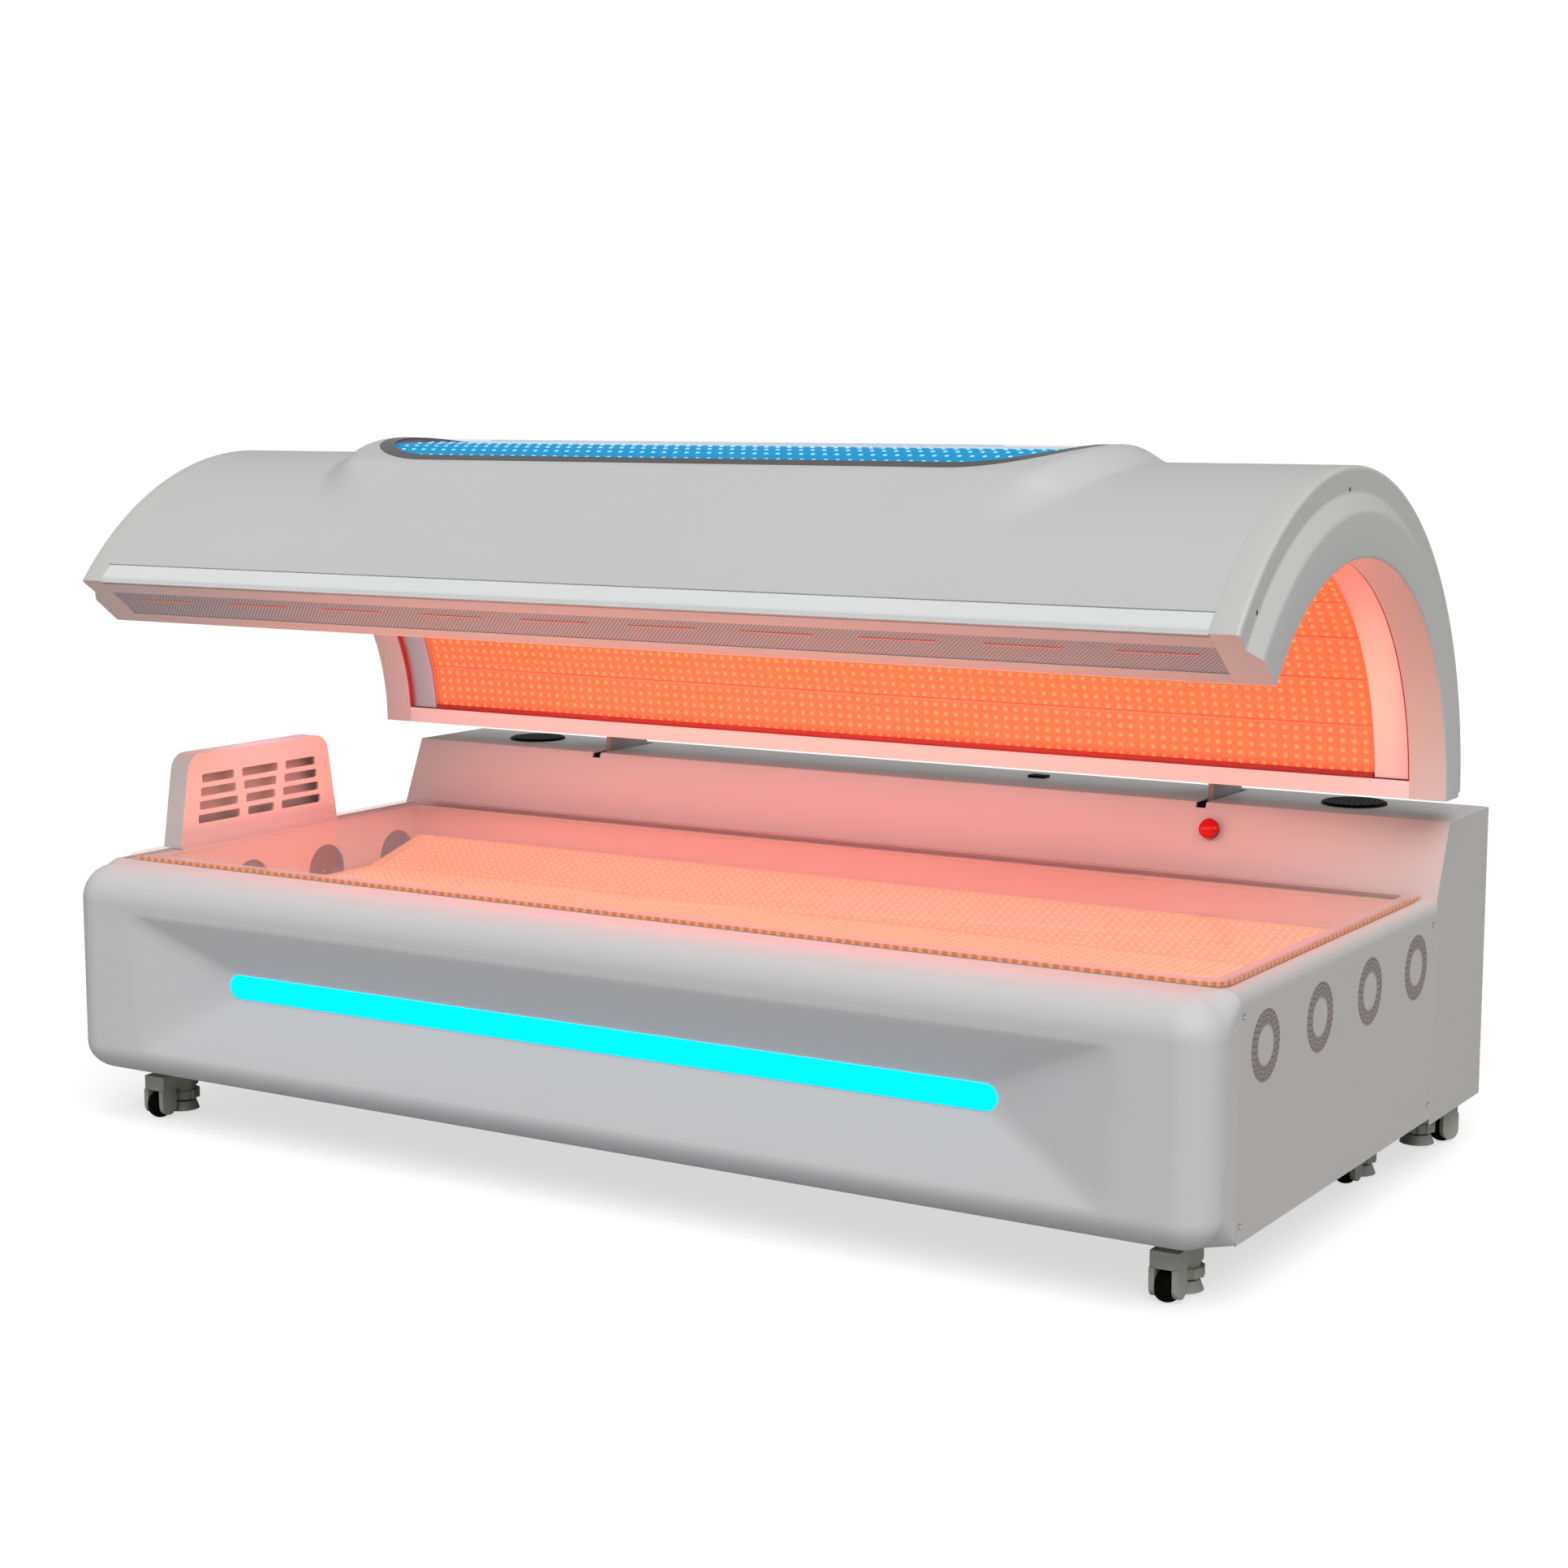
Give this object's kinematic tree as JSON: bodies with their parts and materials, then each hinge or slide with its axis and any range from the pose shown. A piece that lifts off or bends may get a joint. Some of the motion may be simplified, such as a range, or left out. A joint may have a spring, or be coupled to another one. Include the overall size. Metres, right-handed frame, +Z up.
{
  "type": "red light therapy bed",
  "caption": "Light therapy bed: a clear lying sheet over LED boards in a wheeled cabinet, under a half-arch canopy lined with LED boards and hinged on a rear cabinet.",
  "frame": {"origin": "on the floor, under the middle of the bed's overall box", "axes": "+X along the bed, the air hood at -X; -Y to the open front side; +Z up"},
  "size_m": [2.2, 1.19, 1.2065],
  "materials": {
    "shell_moulding": "satin",
    "end_moulding": "satin",
    "cover_moulding": "satin",
    "panel_sheet": "satin powder coat",
    "back_sheet": "satin powder coat",
    "frame_steel": "satin paint",
    "lying_acrylic": "polished",
    "deck_aluminium": "satin",
    "trim_aluminium": "satin",
    "grille_sheet": "matt",
    "tub_sheet": "satin",
    "led_boards": "lit",
    "reflector_sheet": "bright",
    "fan_plastic": "matt",
    "blade_plastic": "matt",
    "light_diffuser": "lit",
    "channel_aluminium": "satin",
    "black_plastic": "satin",
    "case_aluminium": "satin",
    "box_sheet": "satin",
    "red_plastic": "gloss",
    "bright_steel": "bright",
    "arm_steel": "satin",
    "tube_paint": "gloss",
    "window_border": "gloss",
    "window_acrylic": "polished",
    "window_leds": "lit",
    "caster_casting": "satin",
    "wheel_rubber": "matt"
  },
  "bodies": {
    "bed": {"base_frame": "frame_steel", "front_cover": "cover_moulding", "end_panel_left": "panel_sheet", "end_panel_right": "panel_sheet", "vent_grilles": "grille_sheet", "deck_frame": "deck_aluminium", "bed_glass": "lying_acrylic", "tub_liner": "tub_sheet", "bed_led_boards": "led_boards", "fan_housings": "fan_plastic", "front_light_bar": "light_diffuser", "light_channel": "channel_aluminium", "air_hood": "panel_sheet", "rear_cabinet": "panel_sheet", "rear_panel": "back_sheet", "speakers": "black_plastic", "power_supplies": "case_aluminium", "control_box": "box_sheet", "stop_collar": "black_plastic", "mains_inlet": "black_plastic", "top_socket": "black_plastic", "hinge_brackets": "frame_steel", "hinge_pins": "bright_steel", "caster_plates": "bright_steel"},
    "canopy": {"hinge_arms": "arm_steel", "canopy_shell": "shell_moulding", "canopy_end_left": "end_moulding", "canopy_end_right": "end_moulding", "front_trim": "trim_aluminium", "inner_trim": "trim_aluminium", "mesh_panel": "grille_sheet", "canopy_led_boards": "led_boards", "canopy_reflectors": "reflector_sheet", "rear_rail": "trim_aluminium", "canopy_frame": "frame_steel", "window_frame": "window_border", "window_lens": "window_acrylic", "window_board": "window_leds"},
    "stop_button_body": {"stop_button": "red_plastic"},
    "spring_tube_left": {"gas_spring_tube_left": "tube_paint"},
    "spring_rod_left": {"gas_spring_rod_left": "bright_steel"},
    "spring_tube_right": {"gas_spring_tube_right": "tube_paint"},
    "spring_rod_right": {"gas_spring_rod_right": "bright_steel"},
    "fan_pair_1": {"fan_impellers_1": "blade_plastic"},
    "fan_pair_2": {"fan_impellers_2": "blade_plastic"},
    "fan_pair_3": {"fan_impellers_3": "blade_plastic"},
    "fan_pair_4": {"fan_impellers_4": "blade_plastic"},
    "caster_1": {"caster_fork_1": "caster_casting"},
    "wheel_1": {"caster_wheel_1": "wheel_rubber"},
    "caster_2": {"caster_fork_2": "caster_casting"},
    "wheel_2": {"caster_wheel_2": "wheel_rubber"},
    "caster_3": {"caster_fork_3": "caster_casting"},
    "wheel_3": {"caster_wheel_3": "wheel_rubber"},
    "caster_4": {"caster_fork_4": "caster_casting"},
    "wheel_4": {"caster_wheel_4": "wheel_rubber"},
    "caster_5": {"caster_fork_5": "caster_casting"},
    "wheel_5": {"caster_wheel_5": "wheel_rubber"},
    "caster_6": {"caster_fork_6": "caster_casting"},
    "wheel_6": {"caster_wheel_6": "wheel_rubber"}
  },
  "joints": [
    {"name": "canopy_hinge", "type": "hinge", "parent": "bed", "child": "canopy", "pos_m": [0, 0.517, 0.552], "axis": [1, 0, 0], "range_deg": [0, 20]},
    {"name": "spring_foot_left", "type": "hinge", "parent": "bed", "child": "spring_tube_left", "pos_m": [-0.66, 0.509, 0.16], "axis": [1, 0, 0], "range_deg": [-3.38, 0.3]},
    {"name": "spring_stroke_left", "type": "slide", "parent": "spring_tube_left", "child": "spring_rod_left", "axis": [0, -0.1581, 0.9874], "range_m": [-0.0221, 0.0006]},
    {"name": "spring_foot_right", "type": "hinge", "parent": "bed", "child": "spring_tube_right", "pos_m": [0.66, 0.509, 0.16], "axis": [1, 0, 0], "range_deg": [-3.38, 0.3]},
    {"name": "spring_stroke_right", "type": "slide", "parent": "spring_tube_right", "child": "spring_rod_right", "axis": [0, -0.1581, 0.9874], "range_m": [-0.0221, 0.0006]},
    {"name": "stop_press", "type": "slide", "parent": "bed", "child": "stop_button_body", "axis": [0, 0.9172, -0.3985], "range_m": [0, 0.004], "stiffness_N_per_m": 600, "springref_m": -0.002},
    {"name": "fan_spin_1", "type": "hinge", "parent": "bed", "child": "fan_pair_1", "pos_m": [0, -0.395, 0.368], "axis": [1, 0, 0], "continuous": true},
    {"name": "fan_spin_2", "type": "hinge", "parent": "bed", "child": "fan_pair_2", "pos_m": [0, -0.183, 0.368], "axis": [1, 0, 0], "continuous": true},
    {"name": "fan_spin_3", "type": "hinge", "parent": "bed", "child": "fan_pair_3", "pos_m": [0, 0.029, 0.368], "axis": [1, 0, 0], "continuous": true},
    {"name": "fan_spin_4", "type": "hinge", "parent": "bed", "child": "fan_pair_4", "pos_m": [0, 0.241, 0.368], "axis": [1, 0, 0], "continuous": true},
    {"name": "caster_swivel_1", "type": "hinge", "parent": "bed", "child": "caster_1", "pos_m": [-0.978, -0.433, 0.06], "axis": [0, 0, 1], "continuous": true},
    {"name": "wheel_roll_1", "type": "hinge", "parent": "caster_1", "child": "wheel_1", "pos_m": [-0.978, -0.489, 0.024], "axis": [1, 0, 0], "continuous": true},
    {"name": "caster_swivel_2", "type": "hinge", "parent": "bed", "child": "caster_2", "pos_m": [0.978, -0.433, 0.06], "axis": [0, 0, 1], "continuous": true},
    {"name": "wheel_roll_2", "type": "hinge", "parent": "caster_2", "child": "wheel_2", "pos_m": [0.978, -0.489, 0.024], "axis": [1, 0, 0], "continuous": true},
    {"name": "caster_swivel_3", "type": "hinge", "parent": "bed", "child": "caster_3", "pos_m": [-0.978, 0.279, 0.06], "axis": [0, 0, 1], "continuous": true},
    {"name": "wheel_roll_3", "type": "hinge", "parent": "caster_3", "child": "wheel_3", "pos_m": [-0.978, 0.223, 0.024], "axis": [1, 0, 0], "continuous": true},
    {"name": "caster_swivel_4", "type": "hinge", "parent": "bed", "child": "caster_4", "pos_m": [0.978, 0.279, 0.06], "axis": [0, 0, 1], "continuous": true},
    {"name": "wheel_roll_4", "type": "hinge", "parent": "caster_4", "child": "wheel_4", "pos_m": [0.978, 0.223, 0.024], "axis": [1, 0, 0], "continuous": true},
    {"name": "caster_swivel_5", "type": "hinge", "parent": "bed", "child": "caster_5", "pos_m": [-0.998, 0.515, 0.06], "axis": [0, 0, 1], "continuous": true},
    {"name": "wheel_roll_5", "type": "hinge", "parent": "caster_5", "child": "wheel_5", "pos_m": [-0.97, 0.5635, 0.024], "axis": [-0.866, 0.5, 0], "continuous": true},
    {"name": "caster_swivel_6", "type": "hinge", "parent": "bed", "child": "caster_6", "pos_m": [0.998, 0.515, 0.06], "axis": [0, 0, 1], "continuous": true},
    {"name": "wheel_roll_6", "type": "hinge", "parent": "caster_6", "child": "wheel_6", "pos_m": [1.026, 0.5635, 0.024], "axis": [-0.866, 0.5, 0], "continuous": true}
  ],
  "couplings": [
    {"joint": "spring_foot_left", "follows": "canopy_hinge", "ratio": -0.1539},
    {"joint": "spring_stroke_left", "follows": "canopy_hinge", "m_per_rad": -0.06169},
    {"joint": "spring_foot_right", "follows": "canopy_hinge", "ratio": -0.1539},
    {"joint": "spring_stroke_right", "follows": "canopy_hinge", "m_per_rad": -0.06169}
  ]
}
